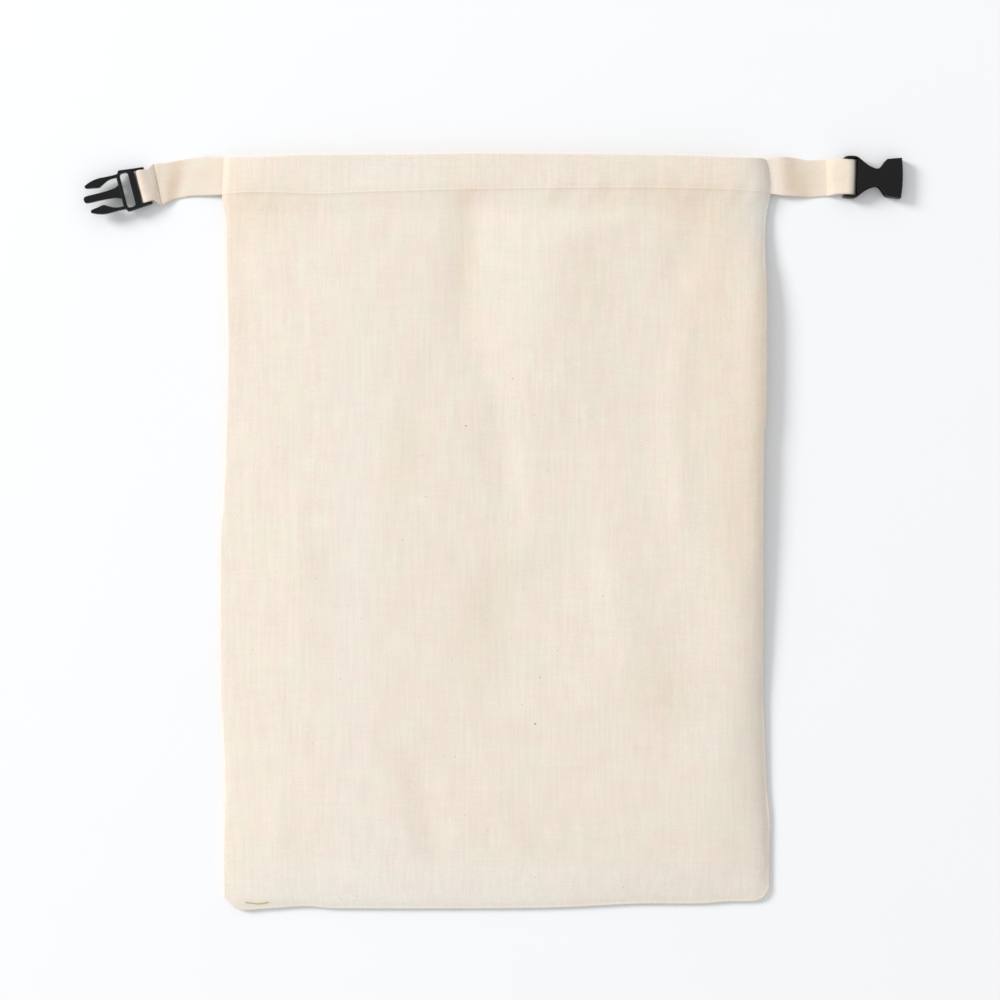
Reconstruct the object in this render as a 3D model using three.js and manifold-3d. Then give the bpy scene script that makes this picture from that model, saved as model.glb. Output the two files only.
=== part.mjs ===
// Waxed cotton bag lying on its back with its mouth open, and half a side-release buckle on a short strap at each
// end of the mouth. Millimetres. +X runs towards the socket half, +Y from the bottom seam towards the mouth, +Z up
// from the surface that the bag lies on. The origin is under the middle of the whole object.
import * as THREE from "three";
import { mergeVertices } from "three/addons/utils/BufferGeometryUtils.js";
import Module from "manifold-3d";

// Cloth
const CLOTH = 1.0; // one layer of waxed cotton
const HEM = 1.8; // the mouth's hem, where the cloth is turned over
const STRAP = 1.6; // a strap, the same cloth folded lengthwise
const TOUCH = 0.3; // gap between pieces that touch
const SEAM_GAP = 0.45; // gap between the panels along their seam, which leaves TOUCH between the facets
const STRAP_PLAY = 0.4; // gap over and under a strap's end between the two hems
const LOOP_PLAY = 0.37; // gap between a strap and its bar, which leaves TOUCH between the facets

// Depth of the bag between its two inner surfaces
const BODY_DEPTH = 6.5;
const MOUTH_DEPTH = 5.3;
const LIP = 1.4; // of that depth, the part that the cloth gains as it rolls over the seam
const HEM_EASE = 26; // how far below the hem the back panel comes down to the surface again
const STRAP_EASE = 24; // how far below the hem the side seams close again after a strap

// How far in from each seam the lip and the crown reach
const REACH = {
  left: { lip: 45, crown: 70, curl: 45 },
  right: { lip: 11, crown: 45, curl: 55 },
  bottom: { lip: 20, crown: 60, curl: 40 },
};
const BOTTOM_CURL = 0.3;

// How high the side seams stand off the surface, from the bottom seam to the mouth
const SIDE_CURL = [
  { y: -209, left: 0.6, right: 0.0 },
  { y: -170, left: 1.1, right: 0.2 },
  { y: -105, left: 1.8, right: 1.2 },
  { y: -60, left: 2.2, right: 2.8 },
  { y: -16, left: 2.4, right: 4.6 },
  { y: 29, left: 2.5, right: 5.7 },
  { y: 118, left: 2.8, right: 6.2 },
  { y: 140, left: 2.6, right: 5.1 },
  { y: 160, left: 2.0, right: 3.1 },
  { y: 184, left: 0.4, right: 0.8 },
  { y: 209, left: 0.2, right: 0.8 },
];

// Outline of the bag from above
const LEFT_EDGE = [
  { y: -205, x: -149.6 },
  { y: -185, x: -149.9 },
  { y: -146, x: -148.9 },
  { y: -112, x: -150.3 },
  { y: -92, x: -151.4 },
  { y: -8, x: -151.5 },
  { y: 10, x: -150.0 },
  { y: 50, x: -148.4 },
  { y: 98, x: -147.3 },
  { y: 160, x: -148.2 },
  { y: 176, x: -148.4 },
  { y: 187, x: -150.4 },
  { y: 209, x: -149.4 },
];
const RIGHT_EDGE = [
  { y: -205, x: 152.9 },
  { y: -168, x: 153.1 },
  { y: -150, x: 151.6 },
  { y: -112, x: 150.1 },
  { y: -92, x: 149.3 },
  { y: 50, x: 149.3 },
  { y: 66, x: 150.6 },
  { y: 142, x: 150.8 },
  { y: 154, x: 150.2 },
  { y: 176, x: 151.0 },
  { y: 190, x: 153.5 },
  { y: 200, x: 152.8 },
  { y: 209, x: 150.1 },
];
const BOTTOM_EDGE = [
  { x: -151, y: -200.2 },
  { x: -143, y: -208.6 },
  { x: -128, y: -208.7 },
  { x: -104, y: -207.4 },
  { x: -90, y: -208.5 },
  { x: 8, y: -208.5 },
  { x: 42, y: -207.8 },
  { x: 78, y: -206.0 },
  { x: 116, y: -205.8 },
  { x: 130, y: -204.7 },
  { x: 145, y: -204.4 },
  { x: 150, y: -202.4 },
  { x: 153.5, y: -197.0 },
];
const MOUTH_EDGE = [
  { x: -150, y: 208.0 },
  { x: -134, y: 207.8 },
  { x: -104, y: 208.9 },
  { x: -26, y: 209.2 },
  { x: -14, y: 209.6 },
  { x: 60, y: 209.2 },
  { x: 107, y: 208.4 },
  { x: 136, y: 207.4 },
  { x: 152, y: 207.2 },
];
const HEM_LINE = [
  { x: -150, y: 188.3 },
  { x: -130, y: 188.9 },
  { x: -98, y: 187.8 },
  { x: -67, y: 188.9 },
  { x: -24, y: 190.0 },
  { x: 20, y: 190.8 },
  { x: 80, y: 191.1 },
  { x: 115, y: 190.6 },
  { x: 152, y: 189.2 },
];

// Soft creases of the front panel, each from its start past its middle to its end, in plan. A rise below zero is a
// trough, and reach is half its width.
const FOLDS = [
  { startX: -15.5, startY: 187, midX: -18, midY: 140, endX: -18, endY: 98, reach: 9, rise: -0.7 },
  { startX: -18, startY: 112, midX: 1, midY: 78, endX: 12, endY: -8, reach: 12, rise: -0.6 },
  { startX: 28, startY: 176, midX: 30, midY: 120, endX: 26, endY: 52, reach: 34, rise: 1.1 },
  { startX: 19, startY: 62, midX: 19, midY: 28, endX: 23, endY: -12, reach: 8, rise: 0.35 },
  { startX: 106, startY: 118, midX: 98, midY: 68, endX: 104, endY: -16, reach: 8, rise: 0.5 },
  { startX: 88, startY: 88, midX: 84, midY: 50, endX: 81, endY: 14, reach: 9, rise: -0.3 },
  { startX: 28, startY: -12, midX: 27, midY: -50, endX: 30, endY: -98, reach: 28, rise: -0.7 },
  { startX: 71, startY: -10, midX: 74, midY: -49, endX: 76, endY: -88, reach: 12, rise: 0.5 },
  { startX: 108, startY: -34, midX: 112, midY: -80, endX: 108, endY: -130, reach: 17, rise: -0.6 },
  { startX: 134, startY: -4, midX: 136, midY: -66, endX: 134, endY: -134, reach: 14, rise: 0.6 },
  { startX: -48, startY: -118, midX: -37, midY: -152, endX: -29, endY: -188, reach: 9, rise: -0.5 },
  { startX: -8, startY: -138, midX: 6, midY: -156, endX: 20, endY: -180, reach: 8, rise: 0.4 },
  { startX: -110, startY: 0, midX: -106, midY: -38, endX: -101, endY: -80, reach: 12, rise: 0.4 },
  { startX: -60, startY: 76, midX: -49, midY: 51, endX: -56, endY: 26, reach: 10, rise: 0.3 },
  { startX: 114, startY: 190, midX: 109, midY: 158, endX: 101, endY: 134, reach: 11, rise: -0.7 },
  { startX: 28, startY: 158, midX: 60, midY: 169, endX: 90, endY: 184, reach: 8, rise: 0.4 },
];
const FOLD_MARGIN = 18; // creases die out over this distance from the seams
const HEM_STIFFNESS = 0.3; // the share of a crease that the doubled hem still shows
const HEM_TUCK = 4; // the hem thins to one layer over this distance from each side seam
const FOLD_ROUNDING = 0.25; // how much of a hem's thickness its folded edge loses on each side

// Buckle. Each half has its origin on its own axis, is turned about +Z, and is then tipped, its free end down, or up
// where the tip is below zero, and rolled, its left side up. Places along the axis count towards the free end.
const BAR_RADIUS = 1.15; // the bar that a strap is folded round
const LOOP_RADIUS = BAR_RADIUS + LOOP_PLAY + STRAP / 2; // a strap's middle surface round that bar
const PLUG = {
  x: -200.9,
  y: 190.1,
  z: 4.2,
  turn: 194.4,
  tip: -6,
  roll: 1.5,
  barAt: -6.9,
  strapHalf: 9.3,
  openingHalf: 9.7,
  middleBarBack: -3.45,
  middleBarFront: 0,
  frontBarBack: 4.7,
  slotHalf: 10.0,
  slotCorner: 1.6,
  frameThick: 4.0,
  prongThick: 3.2,
  guideThick: 3.0,
};
const SOCKET = {
  x: 194.2,
  y: 197.05,
  z: 3.35,
  turn: -1.5,
  tip: 0,
  roll: 0,
  barAt: 3.0,
  strapHalf: 9.9,
  earInner: 10.4,
  strapEnd: 7.8,
  backWall: 11.4,
  mouth: 32.9,
  mouthBulge: 0.8,
  thick: 6.7,
  plate: 1.2,
  innerHalf: 9.7,
};
const EDGE_ROUNDING = { frame: 0.4, prong: 0.4, guide: 0.3, socket: 0.6 };

// One side of each outline, which its mirror image completes
const FRAME_OUTLINE = [
  { along: -9.3, across: 10.1 },
  { along: -8.8, across: 10.4 },
  { along: -4.0, across: 10.8 },
  { along: 3.8, across: 11.6 },
  { along: 4.8, across: 11.5 },
  { along: 5.3, across: 10.9 },
  { along: 5.5, across: 10.2 },
  { along: 6.7, across: 9.6 },
];
const GUIDE_OUTLINE = [
  { along: 5.2, across: 4.6 },
  { along: 6.7, across: 3.7 },
  { along: 8.6, across: 2.8 },
  { along: 12.0, across: 2.2 },
  { along: 17.0, across: 1.95 },
  { along: 24.4, across: 1.9 },
  { along: 26.4, across: 1.5 },
  { along: 27.1, across: 0.5 },
];
const SOCKET_OUTLINE = [
  { along: 0.3, across: 10.8 },
  { along: 2.3, across: 11.5 },
  { along: 6.4, across: 11.5 },
  { along: 8.6, across: 10.5 },
  { along: 10.8, across: 8.7 },
  { along: 13.2, across: 6.9 },
  { along: 15.6, across: 5.6 },
  { along: 18.0, across: 4.9 },
  { along: 19.6, across: 5.1 },
  { along: 21.2, across: 6.6 },
  { along: 22.8, across: 8.9 },
  { along: 24.0, across: 10.2 },
  { along: 25.6, across: 10.5 },
  { along: 32.1, across: 11.2 },
];
// The whole outline of the prong on the left side
const PRONG_OUTLINE = [
  { along: 5.1, across: 10.0 },
  { along: 9.0, across: 9.8 },
  { along: 12.5, across: 9.9 },
  { along: 17.0, across: 10.0 },
  { along: 21.0, across: 9.2 },
  { along: 24.2, across: 7.9 },
  { along: 24.9, across: 7.1 },
  { along: 24.0, across: 6.2 },
  { along: 20.5, across: 5.6 },
  { along: 17.2, across: 5.1 },
  { along: 15.3, across: 6.0 },
  { along: 12.3, across: 7.6 },
  { along: 9.4, across: 8.3 },
  { along: 5.1, across: 8.3 },
];

// Straps, a row for each section from inside the seam to just before the buckle: the two edges in plan, the one
// nearer the mouth first, and the heights of the lower layer's middle at those edges
const LEFT_STRAP = [
  { mouthX: -144.8, mouthY: 207.0, mouthZ: 3.38, bodyX: -144.8, bodyY: 187.8, bodyZ: 3.38 },
  { mouthX: -150.4, mouthY: 207.9, mouthZ: 3.25, bodyX: -150.4, bodyY: 187.2, bodyZ: 3.25 },
  { mouthX: -160.0, mouthY: 208.6, mouthZ: 1.5, bodyX: -159.6, bodyY: 186.9, bodyZ: 1.5 },
  { mouthX: -165.5, mouthY: 208.2, mouthZ: 0.95, bodyX: -168.6, bodyY: 186.7, bodyZ: 0.95 },
  { mouthX: -170.8, mouthY: 207.6, mouthZ: 0.9, bodyX: -175.8, bodyY: 185.4, bodyZ: 0.9 },
  { mouthX: -177.2, mouthY: 206.4, mouthZ: 1.15, bodyX: -178.8, bodyY: 184.3, bodyZ: 1.35 },
  { mouthX: -183.4, mouthY: 205.2, mouthZ: 1.3, bodyX: -181.2, bodyY: 183.2, bodyZ: 1.65 },
  { mouthX: -189.1, mouthY: 204.3, mouthZ: 1.2, bodyX: -184.4, bodyY: 182.4, bodyZ: 1.75 },
  { mouthX: -191.4, mouthY: 202.4, mouthZ: 1.1, bodyX: -186.4, bodyY: 183.1, bodyZ: 1.65 },
  { mouthX: -193.2, mouthY: 201.1, mouthZ: 1.0, bodyX: -188.6, bodyY: 183.7, bodyZ: 1.55 },
];
const RIGHT_STRAP = [
  { mouthX: 147.0, mouthY: 206.2, mouthZ: 3.78, bodyX: 147.0, bodyY: 188.0, bodyZ: 3.78 },
  { mouthX: 154.0, mouthY: 207.7, mouthZ: 3.59, bodyX: 154.4, bodyY: 187.6, bodyZ: 3.59 },
  { mouthX: 161.0, mouthY: 208.3, mouthZ: 3.82, bodyX: 161.4, bodyY: 186.6, bodyZ: 4.07 },
  { mouthX: 168.0, mouthY: 207.8, mouthZ: 1.7, bodyX: 169.4, bodyY: 186.3, bodyZ: 2.6 },
  { mouthX: 174.8, mouthY: 206.8, mouthZ: 0.95, bodyX: 176.4, bodyY: 186.1, bodyZ: 1.15 },
  { mouthX: 183.2, mouthY: 207.1, mouthZ: 0.88, bodyX: 183.6, bodyY: 186.6, bodyZ: 0.88 },
  { mouthX: 191.0, mouthY: 207.2, mouthZ: 0.88, bodyX: 190.6, bodyY: 187.5, bodyZ: 0.88 },
];
const TAIL = { left: 7.6, right: 11.6 }; // how far each strap's sewn-back end reaches from the bar

// How finely each piece is divided
const FRONT_GRID = { columns: 40, rows: 34 };
const BACK_GRID = { columns: 20, rows: 18 };
const HEM_ROWS = [0, 0.3, 0.65, 0.95, 1];
const HEM_STEP_WIDTH = 0.4; // the hem's edge slopes over this much
const CROWDING = 0.06; // how much closer a panel's divisions lie near its edges
const STRAP_STEP = 4;
const TAIL_STEP = 2;
const LOOP_STEPS = 8;
const SAMPLES = { prong: 40, guide: 17, socket: 36, mouth: 6, corner: 4, bar: 16 };
const OVERSHOOT = 1; // how far a cutter reaches past what it cuts
const BAR_ROOT = 0.6; // how far the ends of a bar reach into the frame
const MERGE = 1e-4; // points closer than this are one

const COLOURS = { cloth: 0xf1e5d3, plastic: 0x1e1e21 };

const degrees = THREE.MathUtils.degToRad;
const clamp = THREE.MathUtils.clamp;
const mix = THREE.MathUtils.lerp;
const smooth = (t) => THREE.MathUtils.smoothstep(t, 0, 1);
const crowd = (t) => t - CROWDING * Math.sin(2 * Math.PI * t);

// Rises from 0 at an edge to 1 at the end of its reach, steepest at the edge.
const rise = (distance, reach) => 1 - (1 - clamp(distance / reach, 0, 1)) ** 2;
const fall = (distance, reach) => 1 - rise(distance, reach);

// Reads one column of a table at a place between its rows, on a smooth curve through them.
function read(table, key, column, place) {
  const last = table.length - 1;
  const at = clamp(place, table[0][key], table[last][key]);
  let i = 0;
  while (i < last - 1 && at > table[i + 1][key]) i += 1;
  const slope = (j) => {
    const before = table[Math.max(j - 1, 0)];
    const after = table[Math.min(j + 1, last)];
    return (after[column] - before[column]) / (after[key] - before[key]);
  };
  const span = table[i + 1][key] - table[i][key];
  const t = (at - table[i][key]) / span;
  const start = (1 + 2 * t) * (1 - t) ** 2;
  const lean = t * (1 - t) ** 2 * slope(i) - t * t * (1 - t) * slope(i + 1);
  return start * table[i][column] + (1 - start) * table[i + 1][column] + span * lean;
}

const edges = {
  left: (y) => read(LEFT_EDGE, "y", "x", y),
  right: (y) => read(RIGHT_EDGE, "y", "x", y),
  bottom: (x) => read(BOTTOM_EDGE, "x", "y", x),
  mouth: (x) => read(MOUTH_EDGE, "x", "y", x),
  hem: (x) => read(HEM_LINE, "x", "y", x),
};

// Distances from a place on the bag to its left, right and bottom seams.
function insets(x, y) {
  return { left: x - edges.left(y), right: edges.right(y) - x, bottom: y - edges.bottom(x) };
}

// A product over the three seams of how far the cloth has risen from each.
function risen(inset, part) {
  return ["left", "right", "bottom"].reduce((share, side) => share * rise(inset[side], REACH[side][part]), 1);
}

// Height of the crease pattern at a place, from the nearest point of each crease's two straight stretches.
function creases(x, y) {
  const place = new THREE.Vector2(x, y);
  return FOLDS.reduce((sum, fold) => {
    const points = ["start", "mid", "end"].map((p) => new THREE.Vector2(fold[`${p}X`], fold[`${p}Y`]));
    let nearest = Infinity;
    let along = 0;
    for (let i = 0; i < 2; i += 1) {
      const stretch = points[i + 1].clone().sub(points[i]);
      const t = clamp(place.clone().sub(points[i]).dot(stretch) / stretch.lengthSq(), 0, 1);
      const distance = place.distanceTo(points[i].clone().addScaledVector(stretch, t));
      if (distance < nearest) {
        nearest = distance;
        along = (i + t) / 2;
      }
    }
    const taper = 1 - (2 * along - 1) ** 4;
    return sum + fold.rise * taper * Math.exp(-((nearest / fold.reach) ** 2));
  }, 0);
}

// Underside of the back panel: flat on the surface, and curled up towards the seams.
function backUnder(x, y, inHem) {
  const inset = insets(x, y);
  const left = read(SIDE_CURL, "y", "left", y) * fall(inset.left, REACH.left.curl);
  const right = read(SIDE_CURL, "y", "right", y) * fall(inset.right, REACH.right.curl);
  const bottom = BOTTOM_CURL * fall(inset.bottom, REACH.bottom.curl);
  const bridge = inHem ? 0 : (HEM - CLOTH) * fall(edges.hem(x) - y, HEM_EASE);
  return left + right + bottom + bridge;
}

function backInner(x, y, inHem) {
  return backUnder(x, y, inHem) + (inHem ? HEM : CLOTH);
}

function frontInner(x, y, inHem) {
  const inset = insets(x, y);
  const nearMouth = smooth((y - edges.hem(x) + STRAP_EASE) / STRAP_EASE);
  const seamGap = mix(SEAM_GAP, STRAP + 2 * STRAP_PLAY, nearMouth);
  const depth = mix(BODY_DEPTH, MOUTH_DEPTH, nearMouth) - seamGap;
  const margin = ["left", "right", "bottom"].reduce((share, side) => share * smooth(inset[side] / FOLD_MARGIN), 1);
  const relief = creases(x, y) * margin * mix(1, HEM_STIFFNESS, inHem ? 1 : 0);
  const lip = LIP * risen(inset, "lip");
  const crown = (depth - LIP) * risen(inset, "crown");
  return backInner(x, y, inHem) + seamGap + lip + crown + relief;
}

function frontOuter(x, y, inHem) {
  const inset = insets(x, y);
  const fold = (HEM - CLOTH) * rise(inset.left, HEM_TUCK) * rise(inset.right, HEM_TUCK);
  return frontInner(x, y, inHem) + CLOTH + (inHem ? fold : 0);
}

// Plan of a panel: rows from the bottom seam to the hem's edge, then across the hem to the mouth.
function panelPlan({ columns, rows }, inset) {
  const levels = [];
  for (let i = 0; i <= rows; i += 1) levels.push({ inHem: false, share: crowd(i / rows) });
  HEM_ROWS.forEach((share) => levels.push({ inHem: true, share }));
  const [low, high, top] = [edges.bottom(0), edges.hem(0), edges.mouth(0)];
  return levels.map(({ inHem, share }) => {
    const level = inHem ? mix(high, top, share) : mix(low, high, share);
    const row = [];
    for (let j = 0; j <= columns; j += 1) {
      const x = mix(edges.left(level) + inset, edges.right(level) - inset, crowd(j / columns));
      const hem = edges.hem(x);
      const y = inHem
        ? mix(hem + HEM_STEP_WIDTH, edges.mouth(x) - inset, share)
        : mix(edges.bottom(x) + inset, hem, share);
      row.push({ x, y, inHem, atFold: inHem && share === 1 });
    }
    return row;
  });
}

// A closed mesh from an upper and a lower grid of points with the same rows and columns.
function closedSheet(upper, lower) {
  const [rows, columns] = [upper.length, upper[0].length];
  const points = [...upper.flat(), ...lower.flat()];
  const top = (i, j) => i * columns + j;
  const under = (i, j) => rows * columns + top(i, j);
  const faces = [];
  const quad = (a, b, c, d) => faces.push(a, b, c, a, c, d);
  for (let i = 0; i + 1 < rows; i += 1) {
    for (let j = 0; j + 1 < columns; j += 1) {
      quad(top(i, j), top(i, j + 1), top(i + 1, j + 1), top(i + 1, j));
      quad(under(i, j), under(i + 1, j), under(i + 1, j + 1), under(i, j + 1));
    }
  }
  for (let j = 0; j + 1 < columns; j += 1) {
    quad(top(0, j), under(0, j), under(0, j + 1), top(0, j + 1));
    quad(top(rows - 1, j + 1), under(rows - 1, j + 1), under(rows - 1, j), top(rows - 1, j));
  }
  for (let i = 0; i + 1 < rows; i += 1) {
    quad(top(i + 1, 0), under(i + 1, 0), under(i, 0), top(i, 0));
    quad(top(i, columns - 1), under(i, columns - 1), under(i + 1, columns - 1), top(i + 1, columns - 1));
  }
  return fromPoints(points, faces);
}

// A closed mesh through a row of sections that have the same number of points, with flat ends.
function loft(sections) {
  const around = sections[0].length;
  const faces = [];
  const at = (i, j) => i * around + (j % around);
  for (let i = 0; i + 1 < sections.length; i += 1) {
    for (let j = 0; j < around; j += 1) {
      faces.push(at(i, j), at(i, j + 1), at(i + 1, j + 1), at(i, j), at(i + 1, j + 1), at(i + 1, j));
    }
  }
  const last = sections.length - 1;
  for (let j = 1; j + 1 < around; j += 1) {
    faces.push(at(0, 0), at(0, j + 1), at(0, j), at(last, 0), at(last, j), at(last, j + 1));
  }
  return fromPoints(sections.flat(), faces);
}

function fromPoints(points, faces) {
  const geometry = new THREE.BufferGeometry().setFromPoints(points);
  geometry.setIndex(faces);
  geometry.computeVertexNormals();
  return geometry;
}

function frontPanel() {
  const plan = panelPlan(FRONT_GRID, 0);
  const lift = ({ x, y, inHem, atFold }, surface) => {
    const [inner, outer] = [frontInner(x, y, inHem), frontOuter(x, y, inHem)];
    const roll = atFold ? FOLD_ROUNDING * (outer - inner) : 0;
    return new THREE.Vector3(x, y, surface === "outer" ? outer - roll : inner + roll);
  };
  return closedSheet(
    plan.map((row) => row.map((place) => lift(place, "outer"))),
    plan.map((row) => row.map((place) => lift(place, "inner"))),
  );
}

function backPanel() {
  const plan = panelPlan(BACK_GRID, TOUCH);
  const lift = ({ x, y, inHem, atFold }, surface) => {
    const [under, inner] = [backUnder(x, y, inHem), backInner(x, y, inHem)];
    const roll = atFold ? FOLD_ROUNDING * (inner - under) : 0;
    return new THREE.Vector3(x, y, surface === "inner" ? inner - roll : under + roll);
  };
  return closedSheet(
    plan.map((row) => row.map((place) => lift(place, "inner"))),
    plan.map((row) => row.map((place) => lift(place, "under"))),
  );
}

const attitude = (half) => new THREE.Euler(degrees(half.roll), degrees(half.tip), degrees(half.turn), "ZYX");

// A point of a buckle half, given along its axis, across it and up, in the bag's frame.
function onBuckle(half, along, across, up) {
  return new THREE.Vector3(along, across, up)
    .applyEuler(attitude(half))
    .add(new THREE.Vector3(half.x, half.y, half.z));
}

// A strap: one band that runs from the seam under the bar, round it and back over itself to its sewn end.
function strap(half, table, mouthSide, tail) {
  const lower = table.map((row) => ({
    mouth: new THREE.Vector3(row.mouthX, row.mouthY, row.mouthZ),
    body: new THREE.Vector3(row.bodyX, row.bodyY, row.bodyZ),
  }));
  const ends = (along, up) => ({
    mouth: onBuckle(half, along, mouthSide * half.strapHalf, up),
    body: onBuckle(half, along, -mouthSide * half.strapHalf, up),
  });
  lower.push(ends(half.barAt, -LOOP_RADIUS));
  const rails = {
    mouth: new THREE.CatmullRomCurve3(lower.map((section) => section.mouth)),
    body: new THREE.CatmullRomCurve3(lower.map((section) => section.body)),
  };
  const length = rails.mouth.getLength();
  const onLower = (t) => ({ mouth: rails.mouth.getPointAt(t), body: rails.body.getPointAt(t) });

  const stations = [];
  const steps = Math.round(length / STRAP_STEP);
  for (let i = 0; i < steps; i += 1) stations.push(onLower(i / steps));
  for (let i = 0; i <= LOOP_STEPS; i += 1) {
    const angle = Math.PI * (i / LOOP_STEPS - 0.5);
    stations.push(ends(half.barAt + LOOP_RADIUS * Math.cos(angle), LOOP_RADIUS * Math.sin(angle)));
  }
  const up = new THREE.Vector3(0, 0, 1).applyEuler(attitude(half));
  const tailSteps = Math.round(tail / TAIL_STEP);
  for (let i = 1; i <= tailSteps; i += 1) {
    const t = i / tailSteps;
    const section = onLower(1 - (t * tail) / length);
    const lift = mix(2 * LOOP_RADIUS, STRAP + TOUCH, smooth(t));
    section.mouth.addScaledVector(up, lift);
    section.body.addScaledVector(up, lift);
    stations.push(section);
  }
  return loft(bandSections(stations));
}

// Four corners for each station of a band, half its thickness to either side of its middle surface.
function bandSections(stations) {
  const middles = stations.map(({ mouth, body }) => mouth.clone().add(body).multiplyScalar(0.5));
  return stations.map(({ mouth, body }, i) => {
    const before = middles[Math.max(i - 1, 0)];
    const after = middles[Math.min(i + 1, middles.length - 1)];
    const across = mouth.clone().sub(body);
    const offset = after.clone().sub(before).cross(across).setLength(STRAP / 2);
    return [
      mouth.clone().add(offset),
      body.clone().add(offset),
      body.clone().sub(offset),
      mouth.clone().sub(offset),
    ];
  });
}

const wasm = await Module();
wasm.setup();

function solid(geometry) {
  const bare = geometry.index ? geometry.toNonIndexed() : geometry.clone();
  bare.deleteAttribute("normal");
  bare.deleteAttribute("uv");
  const merged = mergeVertices(bare, MERGE);
  return new wasm.Manifold(
    new wasm.Mesh({
      numProp: 3,
      vertProperties: merged.attributes.position.array,
      triVerts: new Uint32Array(merged.index.array),
    }),
  );
}

function geometryOf(manifold) {
  const { vertProperties, triVerts } = manifold.getMesh();
  const geometry = new THREE.BufferGeometry();
  geometry.setAttribute("position", new THREE.BufferAttribute(vertProperties, 3));
  geometry.setIndex(new THREE.BufferAttribute(triVerts, 1));
  geometry.computeVertexNormals();
  return geometry;
}

// A plan outline made thick, with rounded edges, half its thickness above and below z = 0.
function slab(shape, thick, rounding) {
  const geometry = new THREE.ExtrudeGeometry(shape, {
    depth: thick - 2 * rounding,
    bevelEnabled: rounding > 0,
    bevelThickness: rounding,
    bevelSize: rounding,
    bevelOffset: -rounding,
    bevelSegments: 2,
    curveSegments: SAMPLES.corner,
  });
  geometry.translate(0, 0, rounding - thick / 2);
  return solid(geometry);
}

function box(fromAlong, toAlong, halfAcross, thick) {
  const geometry = new THREE.BoxGeometry(toAlong - fromAlong, 2 * halfAcross, thick);
  geometry.translate((fromAlong + toAlong) / 2, 0, 0);
  return solid(geometry);
}

// The round bar that a strap is folded round. Its ends are hidden in the frame or the ears.
function strapBar(half, halfLength) {
  const geometry = new THREE.CylinderGeometry(BAR_RADIUS, BAR_RADIUS, 2 * halfLength, SAMPLES.bar);
  geometry.translate(half.barAt, 0, 0);
  return solid(geometry);
}

const inPlan = (row) => new THREE.Vector2(row.along, row.across);
const smoothLine = (rows, samples) => new THREE.SplineCurve(rows.map(inPlan)).getPoints(samples);

// A closed outline from one side's points, free end last, and their mirror image.
function mirrored(side) {
  const other = side.map((p) => new THREE.Vector2(p.x, -p.y)).reverse();
  return new THREE.Shape([...other, ...side]);
}

// Points from the end of a side to the middle of a free end that bulges out.
function bulgingEnd(corner, end, bulge) {
  const points = [];
  for (let i = 1; i < SAMPLES.mouth; i += 1) {
    const share = 1 - i / SAMPLES.mouth;
    points.push(new THREE.Vector2(end - bulge * share ** 2, corner.y * share));
  }
  return points;
}

function roundedRectangle(from, to, halfWidth, radius) {
  const shape = new THREE.Shape();
  shape.moveTo(from + radius, -halfWidth);
  shape.lineTo(to - radius, -halfWidth);
  shape.absarc(to - radius, radius - halfWidth, radius, -Math.PI / 2, 0, false);
  shape.absarc(to - radius, halfWidth - radius, radius, 0, Math.PI / 2, false);
  shape.absarc(from + radius, halfWidth - radius, radius, Math.PI / 2, Math.PI, false);
  shape.absarc(from + radius, radius - halfWidth, radius, Math.PI, 1.5 * Math.PI, false);
  return shape;
}

// The plug half: a ladder frame with the strap bar, an open slot, two sprung prongs and the guide between them.
function plugHalf() {
  const { frameThick, openingHalf, middleBarBack, middleBarFront, frontBarBack, slotHalf, slotCorner } = PLUG;
  const cut = frameThick + 2 * OVERSHOOT;
  const back = FRAME_OUTLINE[0].along - OVERSHOOT;
  const frame = slab(mirrored(FRAME_OUTLINE.map(inPlan)), frameThick, EDGE_ROUNDING.frame)
    .subtract(slab(roundedRectangle(middleBarFront, frontBarBack, slotHalf, slotCorner), cut, 0))
    .subtract(box(back, middleBarBack, openingHalf, cut));
  const prongShape = new THREE.Shape(smoothLine(PRONG_OUTLINE, SAMPLES.prong));
  const prong = slab(prongShape, PLUG.prongThick, EDGE_ROUNDING.prong);
  const guideShape = mirrored(smoothLine(GUIDE_OUTLINE, SAMPLES.guide));
  const guide = slab(guideShape, PLUG.guideThick, EDGE_ROUNDING.guide);
  return frame
    .add(strapBar(PLUG, openingHalf + BAR_ROOT))
    .add(prong)
    .add(prong.mirror([0, 1, 0]))
    .add(guide);
}

// The socket half: two waisted plates with the mouth's side walls, a wall behind and two ears with the strap bar.
function socketHalf() {
  const { earInner, strapEnd, backWall, mouth, mouthBulge, thick, plate, innerHalf } = SOCKET;
  const side = smoothLine(SOCKET_OUTLINE, SAMPLES.socket);
  side.push(...bulgingEnd(side.at(-1), mouth, mouthBulge));
  return slab(mirrored(side), thick, EDGE_ROUNDING.socket)
    .subtract(box(-OVERSHOOT, strapEnd, earInner, thick + 2 * OVERSHOOT))
    .subtract(box(backWall, mouth + OVERSHOOT, innerHalf, thick - 2 * plate))
    .add(strapBar(SOCKET, earInner + BAR_ROOT));
}

function buckleMesh(name, half, manifold) {
  const mesh = new THREE.Mesh(geometryOf(manifold), plastic());
  mesh.name = name;
  mesh.position.set(half.x, half.y, half.z);
  mesh.setRotationFromEuler(attitude(half));
  return mesh;
}

function clothMesh(name, geometry) {
  const mesh = new THREE.Mesh(geometry, cloth());
  mesh.name = name;
  return mesh;
}

const cloth = () => new THREE.MeshStandardMaterial({ color: COLOURS.cloth, roughness: 0.82, metalness: 0 });
const plastic = () => new THREE.MeshStandardMaterial({ color: COLOURS.plastic, roughness: 0.45, metalness: 0 });

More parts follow.
